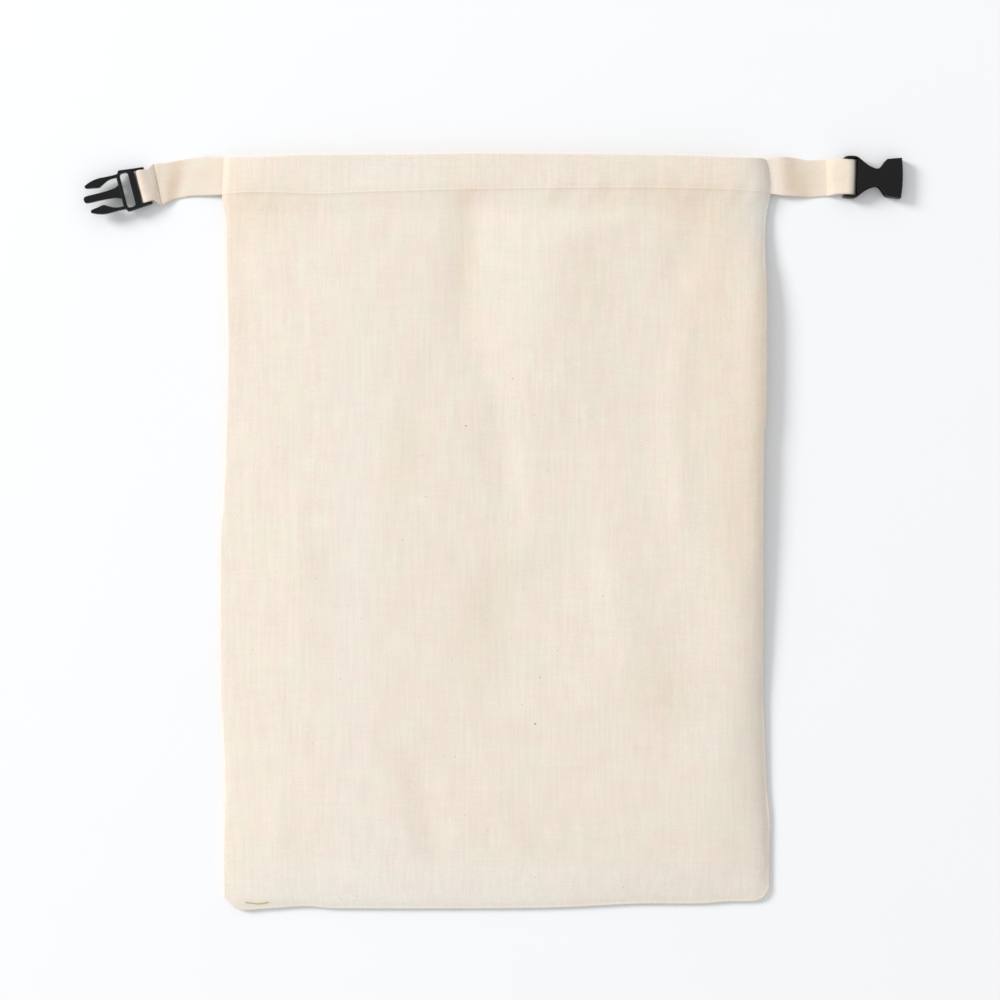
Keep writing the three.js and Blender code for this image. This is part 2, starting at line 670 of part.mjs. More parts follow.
const bag = new THREE.Group();
bag.add(clothMesh("front_panel", frontPanel()));
bag.add(clothMesh("back_panel", backPanel()));
bag.add(clothMesh("strap_left", strap(PLUG, LEFT_STRAP, -1, TAIL.left)));
bag.add(clothMesh("strap_right", strap(SOCKET, RIGHT_STRAP, 1, TAIL.right)));
bag.add(buckleMesh("buckle_plug", PLUG, plugHalf()));
bag.add(buckleMesh("buckle_socket", SOCKET, socketHalf()));

export default bag;
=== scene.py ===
import bpy
import numpy as np
from mathutils import Euler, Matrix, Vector


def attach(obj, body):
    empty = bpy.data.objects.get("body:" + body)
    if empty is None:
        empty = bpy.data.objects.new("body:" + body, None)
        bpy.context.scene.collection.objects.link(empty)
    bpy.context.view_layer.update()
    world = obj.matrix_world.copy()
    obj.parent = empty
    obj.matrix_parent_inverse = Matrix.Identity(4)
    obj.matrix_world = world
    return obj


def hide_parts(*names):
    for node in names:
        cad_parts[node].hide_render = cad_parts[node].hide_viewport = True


MM = 0.001

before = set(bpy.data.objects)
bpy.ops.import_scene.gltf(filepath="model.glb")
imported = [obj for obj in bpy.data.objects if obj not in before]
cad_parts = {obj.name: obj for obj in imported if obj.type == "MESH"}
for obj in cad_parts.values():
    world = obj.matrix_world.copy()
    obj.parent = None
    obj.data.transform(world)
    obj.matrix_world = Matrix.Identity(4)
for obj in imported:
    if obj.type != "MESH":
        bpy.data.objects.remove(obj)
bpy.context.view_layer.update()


def rows(columns, *values):
    """A table whose columns have names."""
    return dict(zip(columns.split(), np.array(values, float).T))


# Cloth and how it lies
CLOTH = 1.0  # one layer of waxed cotton
HEM = 1.8  # the mouth's hem, where the cloth is turned over
STRAP = 1.6  # the part's strap, the same cloth folded lengthwise
TOUCH = 0.3  # how far the back panel stays inside the front one's outline
SEAM_GAP = 0.45  # between the two panels at their seams
STRAP_PLAY = 0.4  # between a strap and each panel
BODY_DEPTH = 6.5  # the room between the two panels in the middle of the bag
MOUTH_DEPTH = 5.3  # the same at the mouth
LIP = 1.4  # how much of that room opens next to a seam, where the cloth rounds over
HEM_EASE = 26  # the back panel rises to its hem over this distance
STRAP_EASE = 24  # the panels part over this distance to let the straps in
FOLD_MARGIN = 18  # creases die out over this distance from the seams
HEM_STIFFNESS = 0.3  # how much of a crease the hem still shows
HEM_TUCK = 4  # the hem's thickness grows over this distance from the side seams
BOTTOM_CURL = 0.3  # how high the bottom seam stands off the surface
REACH = {  # how far inwards each seam's lip, crown and curl reach
    "left": {"lip": 45, "crown": 70, "curl": 45},
    "right": {"lip": 11, "crown": 45, "curl": 55},
    "bottom": {"lip": 20, "crown": 60, "curl": 40},
}

# How high the side seams stand off the surface
SIDE_CURL = rows(
    "y left right",
    (-209, 0.6, 0.0), (-170, 1.1, 0.2), (-105, 1.8, 1.2), (-60, 2.2, 3.2), (-16, 2.4, 5.0), (29, 2.5, 6.2),
    (118, 2.8, 6.9), (140, 2.6, 5.6), (160, 2.0, 3.1), (184, 0.4, 0.8), (209, 0.2, 0.8),
)

# Outline of the bag from above, and the line along which its hem is sewn
LEFT_EDGE = rows(
    "y x",
    (-205, -149.6), (-185, -149.9), (-146, -148.9), (-112, -150.3), (-92, -151.4), (-8, -151.5), (10, -150.0),
    (50, -148.4), (98, -147.3), (160, -148.2), (176, -148.4), (187, -150.4), (209, -149.4),
)
RIGHT_EDGE = rows(
    "y x",
    (-205, 152.9), (-168, 153.1), (-150, 151.6), (-112, 150.1), (-92, 149.3), (50, 149.3), (66, 150.6),
    (142, 150.8), (154, 150.2), (176, 151.0), (190, 153.5), (200, 152.8), (209, 150.1),
)
BOTTOM_EDGE = rows(
    "x y",
    (-151, -200.2), (-143, -208.6), (-128, -208.7), (-104, -207.4), (-90, -208.5), (8, -208.5), (42, -207.8),
    (78, -206.0), (116, -205.8), (130, -204.7), (145, -204.4), (150, -202.4), (153.5, -197.0),
)
MOUTH_EDGE = rows(
    "x y",
    (-150, 208.0), (-134, 207.8), (-104, 208.9), (-26, 209.2), (-14, 209.6), (60, 209.2), (107, 208.4),
    (136, 207.4), (152, 207.2),
)
HEM_LINE = rows(
    "x y",
    (-150, 188.3), (-130, 188.9), (-98, 187.8), (-67, 188.9), (-24, 190.0), (20, 190.8), (80, 191.1),
    (115, 190.6), (152, 189.2),
)

# Soft creases of the front panel, which the part has too.
# Each runs from its start past its middle to its end.
FOLD_COLUMNS = "startX startY midX midY endX endY reach rise"
FOLDS = rows(
    FOLD_COLUMNS,
    (-15.5, 187, -18, 140, -18, 98, 9, -0.7),
    (-18, 112, 1, 78, 12, -8, 12, -0.6),
    (28, 176, 30, 120, 26, 52, 34, 1.1),
    (19, 62, 19, 28, 23, -12, 8, 0.35),
    (106, 118, 98, 68, 104, -16, 8, 0.5),
    (88, 88, 84, 50, 81, 14, 9, -0.3),
    (28, -12, 27, -50, 30, -98, 28, -0.7),
    (71, -10, 74, -49, 76, -88, 12, 0.5),
    (108, -34, 112, -80, 108, -130, 17, -0.6),
    (134, -4, 136, -66, 134, -134, 14, 0.6),
    (-48, -118, -37, -152, -29, -188, 9, -0.5),
    (-8, -138, 6, -156, 20, -180, 8, 0.4),
    (-110, 0, -106, -38, -101, -80, 12, 0.4),
    (-60, 76, -49, 51, -56, 26, 10, 0.3),
    (114, 190, 109, 158, 101, 134, 11, -0.7),
    (28, 158, 60, 169, 90, 184, 8, 0.4),
)

# Creases that only the looks have: broad ones that sharpen the part's own, and small ones
FINE_FOLDS = rows(
    FOLD_COLUMNS,
    (-8, 193, -12, 146, -11, 100, 13, -0.4),
    (-15, 108, 3, 70, 10, 0, 13, -0.3),
    (22, 178, 30, 130, 26, 60, 24, 0.45),
    (-42, 74, -45, 44, -50, 10, 10, -0.25),
    (2, -14, 4, -60, 6, -100, 13, -0.35),
    (108, 128, 104, 70, 105, -6, 6, 0.2),
    (66, 30, 66, -10, 62, -60, 14, 0.35),
    (-46, -126, -38, -154, -27, -190, 8, -0.2),
    (-118, -132, -120, -158, -119, -190, 3.5, 0.14),
    (-131, -140, -129, -160, -130, -186, 3.0, -0.1),
    (-15, -148, 2, -158, 16, -176, 3.0, 0.14),
    (60, 140, 54, 126, 50, 112, 4.0, 0.18),
    (-128, 52, -127, 34, -128, 14, 4.0, -0.12),
    (-105, 30, -108, 0, -107, -30, 4.0, 0.1),
)

# Small creases across the hem, each with how far its foot lies to the left of its head
HEM_CREASES = rows(
    "x lean rise",
    (-138, 6, 0.12), (-130, 8, -0.16), (-123, 7, 0.12), (-96, 5, -0.07), (-14, 8, 0.1), (8, 6, -0.08),
    (33, 9, 0.2), (44, 8, -0.18), (55, 10, 0.24), (66, 9, -0.18), (77, 9, 0.22), (88, 8, -0.16),
    (109, 8, 0.2), (121, 7, -0.14), (132, 8, 0.2), (139, 7, -0.2), (146, 6, 0.15),
)
# How far they reach below and above the hem line, and the share of their lean that lies below it
HEM_CREASE = {"below": 9, "above": 8, "reach": 2.4, "foot": 0.6}

# The hem's sewing and edge
HEM_DROP = 1.2  # how far below the part's hem line the sewing shows
HEM_RAMP = 12  # the body rises to the hem over this distance
HEM_EDGE = 0.5  # the hem's edge slopes over this much
HEM_EDGE_SHARE = 0.17  # the share of the hem's thickness that shows as a step
HEM_PUFF = {"at": 0.7, "reach": 0.6, "rise": 0.06}  # the cloth puffs up between its edge and the sewing
HEM_STITCH = {"at": 1.6, "reach": 0.45, "rise": -0.1}  # the sewing's furrow
HEM_SHADE = {"at": -0.5, "reach": 0.8, "rise": -0.05}  # painted shade along the hem's edge, browner

# The soft cloth at its seams
RIM = 0.5  # how far a turned edge rounds out past its last row
OVERHANG = {"left": 0.4, "right": 0.6, "bottom": 1.3}  # how far the cloth reaches past the part's outline
NO_OVERHANG = {"left": 0, "right": 0, "bottom": 0}
SEAM_CLOSE = {"body": 0.2, "mouth": 0.35}  # how far each sheet leans towards the seam between them
SEAM_REACH = 1.6  # over which distance it leans
SEAM_ROLL = {  # how far the upper sheet rolls down next to each seam, and over which distance
    "left": {"drop": 0.15, "reach": 3.0},
    "right": {"drop": 0.6, "reach": 5.0},
    "bottom": {"drop": 0.25, "reach": 3.0},
}
STRAP_ROLL = {  # the same at the mouth, where the soft hem lies down on a strap
    "left": {"drop": 1.9, "reach": 24.0},
    "right": {"drop": 2.2, "reach": 17.0},
    "bottom": {"drop": 0.25, "reach": 3.0},
}
THINNEST = 0.5  # the upper sheet's thickness at its edges

# Small unevenness of the cloth: hills, and puckers that start at the seams' rim and die out inwards
UNEVEN = (
    {"across": 26, "along": 44, "rise": 0.12, "seed": 11},
    {"across": 11, "along": 19, "rise": 0.05, "seed": 12},
)
PUCKER = {"rise": 0.16, "reach": 3.0, "pitch": 4.5, "rim": 1.5}
RELIEF_MARGIN = 6  # the hills die out over this distance from the seams
SEEDS = {"front": 0, "back": 50, "left": 31, "right": 32, "bottom": 33}  # of the hills and the puckers
LATTICE = 64  # random values each way before they repeat

# Buckle halves, as the part places them and turns them in degrees.
# Bar is where the strap's bar lies along a half.
BAR_RADIUS = 1.15
PLUG = {"at": (-200.9, 190.1, 4.2), "turn": 194.4, "tip": -6, "roll": 1.5, "bar": -6.9}
SOCKET = {"at": (194.2, 197.05, 3.35), "turn": -1.5, "tip": 0, "roll": 0, "bar": 3.0}

# Straps. Each section has an edge on the mouth's side and one on the body's side.
BAND = 0.9  # how thick the soft strap is
BAND_PLAY = 0.06  # its gap to the bar and between its layers
LAID_BACK = 1.25  # how late the sewn end comes down on the strap: 1 is evenly along its length
SECTION_COLUMNS = "mouthX mouthY mouthZ bodyX bodyY bodyZ"
STRAPS = {
    "left": {
        "half": PLUG,
        "half_width": 9.3,  # at the bar
        "mouth_side": -1,  # which way from the buckle's axis the mouth's side lies
        "loop_reach": 2.75,  # how far the loose fold round the bar reaches towards the buckle
        "tail": 7.6,  # length of the sewn end
        "edge": 0.12,  # its thickness at its edge
        "taper": 6.0,  # how far it tapers
        "seed": 21,
        "sections": rows(
            SECTION_COLUMNS,
            (-144.8, 207.0, 3.1, -144.8, 187.8, 3.1),
            (-150.4, 207.9, 2.95, -150.4, 187.2, 2.95),
            (-160.0, 208.6, 1.85, -159.6, 186.9, 1.85),
            (-165.5, 208.2, 1.25, -168.6, 186.7, 1.3),
            (-170.8, 207.6, 0.9, -175.8, 185.4, 0.9),
            (-177.2, 206.4, 1.15, -178.8, 184.3, 1.35),
            (-183.4, 205.2, 1.75, -181.2, 183.2, 2.05),
            (-189.1, 204.5, 2.15, -184.4, 181.7, 2.5),
            (-191.4, 202.6, 2.15, -186.6, 182.2, 2.55),
            (-193.2, 201.1, 1.9, -188.6, 183.7, 2.3),
        ),
    },
    "right": {
        "half": SOCKET,
        "half_width": 9.9,
        "mouth_side": 1,
        "loop_reach": 3.4,
        "tail": 11.6,
        "edge": 0.5,
        "taper": 4.0,
        "seed": 22,
        "sections": rows(
            SECTION_COLUMNS,
            (147.0, 206.2, 3.6, 147.0, 188.0, 3.6),
            (154.0, 207.7, 3.5, 154.4, 187.6, 3.5),
            (161.0, 208.3, 3.65, 161.4, 186.6, 3.85),
            (168.0, 207.8, 1.7, 169.4, 186.3, 2.6),
            (174.8, 206.8, 0.95, 176.4, 186.1, 1.15),
            (183.2, 207.1, 1.05, 183.6, 186.6, 1.05),
            (188.0, 207.1, 1.7, 188.2, 187.0, 1.7),
            (191.0, 207.2, 1.95, 190.6, 187.5, 1.95),
        ),
    },
}
BAND_UNEVEN = {"along": 7, "across": 5, "shift": 9, "rise": 0.07}  # the soft strap's small hills

# Painted shade and painted light on the cloth's folds, seam rolls and edges: middle, reach across and along,
# how far the patch leans to the right for each millimetre upwards, and how much lighter the cloth is painted
# there
SHADING_COLUMNS = "x y across along lean tone"
SHADING_PATCHES = rows(
    SHADING_COLUMNS,
    (122, 96, 22, 60, 0, -0.04),
    (147, 90, 6, 90, 0, -0.07),
    (134, 14, 12, 50, 0, -0.055),
    (146, 196, 9, 14, 0, 0.02),
    (-146, 160, 9, 60, 0, -0.04),
    (-147, 198, 9, 14, 0, -0.045),
    (104, 188, 44, 13, 0, -0.05),
    (-130, 184, 18, 14, 0, -0.04),
    (-84, -196, 90, 12, 0, 0.025),
    (152, 176, 4, 16, 0, 0.06),
    (104, 164, 12, 20, 0, -0.03),
    (54, 137, 13, 15, 0, -0.035),
    (-58, 199, 26, 12, 0, 0.03),
    (148, 168, 7, 26, 0, 0.05),
    (147, 178, 5, 14, 0, 0.08),
    (118, 175, 12, 7, 0, -0.04),
    (122, 146, 13, 30, 0, -0.04),
    (-128, 172, 22, 16, 0, -0.035),
    (-55, -168, 30, 14, 0, 0.03),
    (-146, -190, 6, 20, 0, -0.03),
    (-30, -204, 150, 7, 0, 0.05),
    (-10, -192, 150, 14, 0, 0.03),
    (-78, -20, 16, 190, 0, 0.03),
    (-16, 156, 7, 38, -0.05, -0.06),
    (-14, 187, 6, 7, 0.2, -0.05),
    (35, 184, 5, 5, 0.5, -0.03),
    (62, 182, 7, 6, 0.5, -0.03),
    (18, 150, 20, 42, 0, 0.025),
    (-50, 44, 12, 26, 0.1, -0.02),
    (-8, -48, 16, 36, 0.2, -0.025),
    (57, -15, 9, 38, -0.2, 0.025),
    (90, -88, 19, 21, 0, -0.035),
    (121, -120, 8, 28, -0.2, 0.025),
    (-44, -158, 8, 26, -0.35, -0.025),
    (-98, -20, 9, 26, 0, -0.015),
)
# Painted shade on the straps, in their creases, on slopes turned from the lamp and at the sewn ends; the
# broad first patch darkens the whole left strap
STRAP_SHADING_PATCHES = rows(
    SHADING_COLUMNS,
    (-170.0, 197.0, 60, 60, 0, -0.03),
    (-178.0, 195.0, 3.6, 15, 0.2, -0.11),
    (-187.2, 193.0, 1.5, 14, 0.12, -0.08),
    (-162.0, 199.0, 6.0, 3, 0.8, -0.03),
    (-156.0, 198.0, 8.0, 15, 0, -0.03),
    (-151.2, 197.0, 1.2, 12, 0, -0.04),
    (-196.0, 192.0, 3.0, 14, 0.12, -0.04),
    (168.0, 193.0, 6.0, 14, -0.2, -0.12),
    (161.0, 197.0, 3.0, 14, 0, -0.03),
    (178.0, 197.0, 6.0, 14, 0, -0.07),
    (188.5, 197.0, 4.5, 14, 0, -0.08),
    (195.5, 197.0, 4.0, 14, 0, -0.06),
)
# The points' attribute that carries the painted shade and painted light
SHADING_ATTRIBUTE = "painted_shade"
SHADING_TINT = {"Red": 0.55, "Green": 1.1, "Blue": 1.75}  # painted shade turns browner as it darkens, blue falling most

# Flecks of seed in the cotton: place and half length
FLECKS = rows(
    "x y size",
    (-15.3, 58.6, 0.55), (23.1, -106.4, 0.62), (25.8, -80.8, 0.48), (-98.1, -25.8, 0.34),
    (-133.6, -65.3, 0.3), (-84.7, -81.4, 0.34), (-100.8, -48.6, 0.3), (-73.1, -48.1, 0.28),
    (-41.4, -91.4, 0.32), (-21.4, -124.7, 0.34), (-15.8, -157.0, 0.3), (-3.1, -165.3, 0.32),
    (-100.3, -117.5, 0.3), (-93.1, -114.7, 0.26), (10.8, 84.7, 0.36), (22.5, 64.7, 0.32),
    (-37.5, 19.2, 0.34), (-35.8, 39.7, 0.26), (-39.2, 41.9, 0.26), (-23.6, 69.7, 0.28),
    (16.9, -31.4, 0.3), (-50.3, -4.7, 0.32), (30.3, 33.6, 0.3), (-119.2, 46.9, 0.28),
    (-142.0, 8.6, 0.3), (-123.6, -26.4, 0.26), (-120.3, -22.5, 0.26), (-84.7, -204.2, 0.34),
    (-75.3, -202.5, 0.34), (-64.2, -204.2, 0.3), (23.1, -192.0, 0.32), (16.4, -185.3, 0.28),
    (44.7, -194.7, 0.3), (24.7, -198.6, 0.28), (15.8, -204.7, 0.28), (72.0, -197.5, 0.3),
    (84.7, -185.3, 0.28), (145.3, 127.0, 0.32), (35.3, -65.8, 0.34), (9.7, -59.2, 0.28),
    (32.5, -79.2, 0.26), (-23.1, -70.8, 0.3), (15.8, -95.8, 0.36), (-27.5, -124.7, 0.3),
    (60.3, -35.8, 0.32),
)
# Their shape in shares of their half length, and how far they stand proud of the cloth
FLECK = {"points": 5, "width": 0.55, "tip": 0.06, "flatten": 0.25, "proud": 0.01, "seed": 5}

# Threads: each row of stitches ends its margin short of the cloth's edges
THREAD_RADIUS = 0.2
THREAD_SIDES = 6
# A stitch's middle stands proud of the cloth. Dive and tip are how deep its ends lie and how thick they are
# there, as shares of the thread's radius.
STITCH = {"length": 2.5, "pitch": 3.05, "proud": 0.12, "dive": 1.1, "tip": 0.55}
STITCH_SHARES = np.array([0, 0.1, 0.28, 0.5, 0.72, 0.9, 1])  # places of a stitch's rings along it
# A hem's row, whose ends are found at one level of the side seams, and a strap's row, next to its sewn end
HEM_ROW = {"level": 190, "margin": 2, "slope_step": 0.3}
STRAP_ROW = {"from_end": 1.6, "pitch": 2.7, "length": 1.7, "margin": 1.6, "lift": 0.02}
LOOSE_THREAD = rows(
    "x y",
    (-138.0, -206.1), (-134.5, -206.5), (-131.5, -206.9), (-128.5, -206.6), (-125.4, -206.0),
)
LOOSE_END = {"radius": 0.27, "points": 40, "lift": 0.8}

# How fine the meshes are: distances of rows from an edge, and even steps elsewhere
EDGE_ROWS = (0, 0.5, 1.2, 2.2, 3.6)
BELOW_HEM_ROWS = (0, 0.5, 1.2, 2.4)
HEM_ROWS = (0, 0.15, 0.3, 0.45, 0.6, 0.85, 1.1, 1.4, 1.7, 2.1, 2.6)
MOUTH_ROWS = (0, 0.5, 1.2, 2.2)
PANEL_STEP = {"front": 2.0, "back": 3.2, "hem": 1.6}
EDGE_ROUNDS = 4
BAND_MESH = {"step": 0.8, "loop": 17, "tail_step": 0.5, "across": 22, "round": 5}

# Cotton: sizes of its yarns, patches and marks
PINK = (0.870, 0.757, 0.652)
STRAW = (0.852, 0.776, 0.652)
PATCH = {"size": 13, "low": 0.38, "high": 0.62}
YARN = {"wide": 1.7, "long": 26, "detail": 1.5}
CROSS_YARN = {"wide": 1.5, "long": 22, "detail": 1.5, "shade": 0.4, "relief": 0.5}
WEAVE = {"pitch": 0.5, "shade": 0.02, "relief": 0.5}
WOBBLE = {"across": 9, "along": 5, "turn": 3.0, "detail": 1.0}  # how the weave's lines wander
BLOTCH = {"size": 9.0, "detail": 1.0, "shade": 0.05}
GRAIN = {"size": 0.85, "detail": 1.0, "shade": 0.15}
STREAK = {"body": 0.13, "strap": 0.06}  # how much the yarns differ in shade
WAXED = {"rough": 0.56, "rough_play": 0.2, "rough_size": 8, "specular": 0.25, "bump": 0.05}

# The other materials. Twist, mottle, grain and worn count their hills in a millimetre.
CREAM_THREAD = (0.87, 0.80, 0.68)
GREEN_THREAD = (0.52, 0.53, 0.24)
SPUN = {"twist": 3.0, "dark": 0.8, "rough": 0.7, "bump": 0.05}
SEED = {"dark": (0.20, 0.15, 0.10), "light": (0.42, 0.35, 0.25), "mottle": 1.5, "rough": 0.8}
PLASTIC = {
    "dark": (0.0045, 0.0045, 0.005), "light": (0.008, 0.008, 0.0085), "grain": 4.0, "detail": 3.0,
    "worn": 0.25, "rough": 0.4, "rough_play": 0.2, "specular": 0.22, "bump": 0.02,
}

# Camera: the middle and width of what it sees at the height of its plane, straight from above
VIEW = {"x": 3.6, "y": 17.5, "width": 555.6, "plane": 4.0, "lens": 80.0, "sensor": 36.0}
CLIP = {"near": 0.01, "far": 50}  # metres

# Light and floor, in metres but for the floor's drop under the bag and its mottle
LIGHT = {"towards": (-0.78, 0.38, 0.48), "distance": 7.0, "size": 2.6, "power": 368.0}
AMBIENT = {"colour": (0.965, 0.98, 1.0), "strength": 0.672}
FLOOR = {
    "half": 3.0, "drop": 0.02, "colour": (0.95, 0.953, 0.957), "dark": 0.99, "mottle": 0.02,
    "rough": 0.9,
}


# Curves and random heights

def smooth(t):
    """0 to 1 with soft ends."""
    t = np.clip(t, 0, 1)
    return t * t * (3 - 2 * t)


def rise(distance, reach):
    """From 0 at an edge to 1 at the end of its reach, steepest at the edge."""
    return 1 - (1 - np.clip(distance / reach, 0, 1)) ** 2


def fall(distance, reach):
    return 1 - rise(distance, reach)


def mix(a, b, t):
    return a + (b - a) * t


def bump(distance, shape):
    """A soft ridge or furrow at a distance from a line."""
    return shape["rise"] * np.exp(-(((distance - shape["at"]) / shape["reach"]) ** 2))


def read(table, key, column, place):
    """One column of a table at places between its rows, on a smooth curve through them."""
    keys, values = table[key], table[column]
    last = len(keys) - 1
    at = np.clip(place, keys[0], keys[last])
    i = np.clip(np.searchsorted(keys, at, side="left") - 1, 0, last - 1)
    here = np.arange(last + 1)
    before, after = np.maximum(here - 1, 0), np.minimum(here + 1, last)
    slope = (values[after] - values[before]) / (keys[after] - keys[before])
    span = keys[i + 1] - keys[i]
    t = (at - keys[i]) / span
    start = (1 + 2 * t) * (1 - t) ** 2
    lean = t * (1 - t) ** 2 * slope[i] - t * t * (1 - t) * slope[i + 1]
    return start * values[i] + (1 - start) * values[i + 1] + span * lean


def wander(u, v, seed):
    """Smooth random heights from -1 to 1, about one hill for each unit of u and v."""
    lattice = np.random.default_rng(seed).uniform(-1, 1, (LATTICE, LATTICE))
    i, j = np.floor(u).astype(int), np.floor(v).astype(int)
    s, t = smooth(u - i), smooth(v - j)
    low = mix(lattice[i % LATTICE, j % LATTICE], lattice[(i + 1) % LATTICE, j % LATTICE], s)
    high = mix(lattice[i % LATTICE, (j + 1) % LATTICE], lattice[(i + 1) % LATTICE, (j + 1) % LATTICE], s)
    return mix(low, high, t)


def unit(vectors):
    """Vectors of length 1, along the last axis of an array."""
    return vectors / np.linalg.norm(vectors, axis=-1, keepdims=True)


def distances(path):
    """How far along a path each of its points lies."""
    return np.concatenate([[0], np.cumsum(np.linalg.norm(np.diff(path, axis=0), axis=1))])


# Places on the bag

def left_edge(y):
    return read(LEFT_EDGE, "y", "x", y)


def right_edge(y):
    return read(RIGHT_EDGE, "y", "x", y)


def bottom_edge(x):
    return read(BOTTOM_EDGE, "x", "y", x)


def mouth_edge(x):
    return read(MOUTH_EDGE, "x", "y", x)


def hem_line(x):
    return read(HEM_LINE, "x", "y", x) - HEM_DROP


def insets(x, y):
    """Distances from a place on the bag to its left, right and bottom seams."""
    return {"left": x - left_edge(y), "right": right_edge(y) - x, "bottom": y - bottom_edge(x)}


def inside(inset, margin):
    """0 at the seams and 1 at a margin from all of them."""
    return np.prod([smooth(inset[side] / margin) for side in inset], axis=0)


def risen(inset, part):
    """A product over the three seams of how far the cloth has risen from each."""
    return np.prod([rise(inset[side], REACH[side][part]) for side in inset], axis=0)


def mouth_share(x, y):
    """0 on the body and 1 above the hem line, where the straps lie between the panels."""
    return smooth((y - hem_line(x) + STRAP_EASE) / STRAP_EASE)


# Heights of the two panels

def creases(x, y, table):
    """Height of a table's creases, from the nearest point of each one's two straight stretches."""
    total = np.zeros(np.shape(x))
    for fold in zip(*(table[column] for column in FOLD_COLUMNS.split())):
        *corners, reach, height = fold
        points = np.array(corners).reshape(3, 2)
        nearest = np.full(np.shape(x), np.inf)
        along = np.zeros(np.shape(x))
        for i in range(2):
            stretch = points[i + 1] - points[i]
            offset = (x - points[i][0]) * stretch[0] + (y - points[i][1]) * stretch[1]
            t = np.clip(offset / (stretch @ stretch), 0, 1)
            away = np.hypot(x - points[i][0] - t * stretch[0], y - points[i][1] - t * stretch[1])
            along = np.where(away < nearest, (i + t) / 2, along)
            nearest = np.minimum(away, nearest)
        total += height * (1 - (2 * along - 1) ** 4) * np.exp(-((nearest / reach) ** 2))
    return total


def hem_creases(x, y):
    """The small creases across the hem."""
    at = HEM_CREASES["x"]
    middle = hem_line(at)
    table = {
        "startX": at - HEM_CREASES["lean"] * HEM_CREASE["foot"],
        "startY": middle - HEM_CREASE["below"],
        "midX": at,
        "midY": middle,
        "endX": at + HEM_CREASES["lean"] * (1 - HEM_CREASE["foot"]),
        "endY": middle + HEM_CREASE["above"],
        "reach": np.full(len(at), HEM_CREASE["reach"]),
        "rise": HEM_CREASES["rise"],
    }
    return creases(x, y, table)


def unevenness(x, y, seed):
    """The small hills and seam puckers that the part leaves out."""
    inset = insets(x, y)
    margin = inside(inset, RELIEF_MARGIN)
    height = np.zeros(np.shape(x))
    for hill in UNEVEN:
        height += hill["rise"] * margin * wander(x / hill["across"], y / hill["along"], hill["seed"] + seed)
    for side, place in (("left", y), ("right", y), ("bottom", x)):
        gather = wander(place / PUCKER["pitch"], np.zeros(np.shape(place)), SEEDS[side] + seed)
        near = np.exp(-np.maximum(inset[side], 0) / PUCKER["reach"]) * smooth(inset[side] / PUCKER["rim"])
        height += PUCKER["rise"] * gather * near
    return height


def seam_lean(x, y):
    """How far a sheet leans towards the other one next to a side or bottom seam."""
    inset = insets(x, y)
    nearest = np.minimum(np.minimum(inset["left"], inset["right"]), inset["bottom"])
    lean = mix(SEAM_CLOSE["body"], SEAM_CLOSE["mouth"], mouth_share(x, y))
    return lean * (1 - smooth(nearest / SEAM_REACH))


def seam_roll(x, y):
    """How far the upper sheet comes down towards its seams."""
    inset = insets(x, y)
    total = np.zeros(np.shape(x))
    for side in inset:
        low = SEAM_ROLL[side]["drop"] * fall(inset[side], SEAM_ROLL[side]["reach"])
        high = STRAP_ROLL[side]["drop"] * fall(inset[side], STRAP_ROLL[side]["reach"])
        total = np.maximum(total, mix(low, high, mouth_share(x, y)))
    return total


def hemmed_thickness(x, y):
    """Thickness of a panel with its hem and its lean towards the seams."""
    return mix(CLOTH, HEM, smooth((y - hem_line(x)) / HEM_EDGE)) + seam_lean(x, y)


def back_under(x, y, hem):
    """Underside of the back panel, flat on the surface and curled up towards the seams. Hem is 1 on its
    hem and 0 on its body."""
    inset = insets(x, y)
    left = read(SIDE_CURL, "y", "left", y) * fall(inset["left"], REACH["left"]["curl"])
    right = read(SIDE_CURL, "y", "right", y) * fall(inset["right"], REACH["right"]["curl"])
    bottom = BOTTOM_CURL * fall(inset["bottom"], REACH["bottom"]["curl"])
    bridge = (1 - hem) * (HEM - CLOTH) * fall(hem_line(x) - y, HEM_EASE)
    return left + right + bottom + bridge


def back_bottom(x, y):
    """Underside of the back panel with its hem and its sewing, which never goes below the surface."""
    above = y - hem_line(x)
    height = back_under(x, y, smooth(above / HEM_EDGE)) - bump(above, HEM_STITCH)
    return np.maximum(height + np.maximum(unevenness(x, y, SEEDS["back"]), 0), 0)


def back_top(x, y):
    return back_under(x, y, smooth((y - hem_line(x)) / HEM_EDGE)) + hemmed_thickness(x, y)


def front_base(x, y):
    """Outer surface of the front panel, without its hem's thickness."""
    inset = insets(x, y)
    seam_gap = mix(SEAM_GAP, STRAP + 2 * STRAP_PLAY, mouth_share(x, y))
    depth = mix(BODY_DEPTH, MOUTH_DEPTH, mouth_share(x, y)) - seam_gap
    stiff = mix(1, HEM_STIFFNESS, smooth((y - hem_line(x)) / HEM_RAMP + 0.5))
    relief = creases(x, y, FOLDS) * inside(inset, FOLD_MARGIN) * stiff
    lip = LIP * risen(inset, "lip")
    crown = (depth - LIP) * risen(inset, "crown")
    back = back_under(x, y, 0) + CLOTH
    return back + seam_gap + lip + crown + relief + CLOTH


def front_outer(x, y):
    """Outer surface of the front panel with its hem, sewing and small creases."""
    inset = insets(x, y)
    above = y - hem_line(x)
    tuck = rise(inset["left"], HEM_TUCK) * rise(inset["right"], HEM_TUCK)
    step = smooth(above / HEM_EDGE)
    ramp = smooth((above + HEM_RAMP) / HEM_RAMP)
    hem = (HEM - CLOTH) * tuck * mix(ramp, step, HEM_EDGE_SHARE)
    sewing = (bump(above, HEM_PUFF) + bump(above, HEM_STITCH)) * tuck
    fine = creases(x, y, FINE_FOLDS) + hem_creases(x, y) + unevenness(x, y, SEEDS["front"])
    return front_base(x, y) + hem + sewing + fine - seam_roll(x, y)


def front_thickness(x, y):
    return np.maximum(hemmed_thickness(x, y) - seam_roll(x, y), THINNEST)


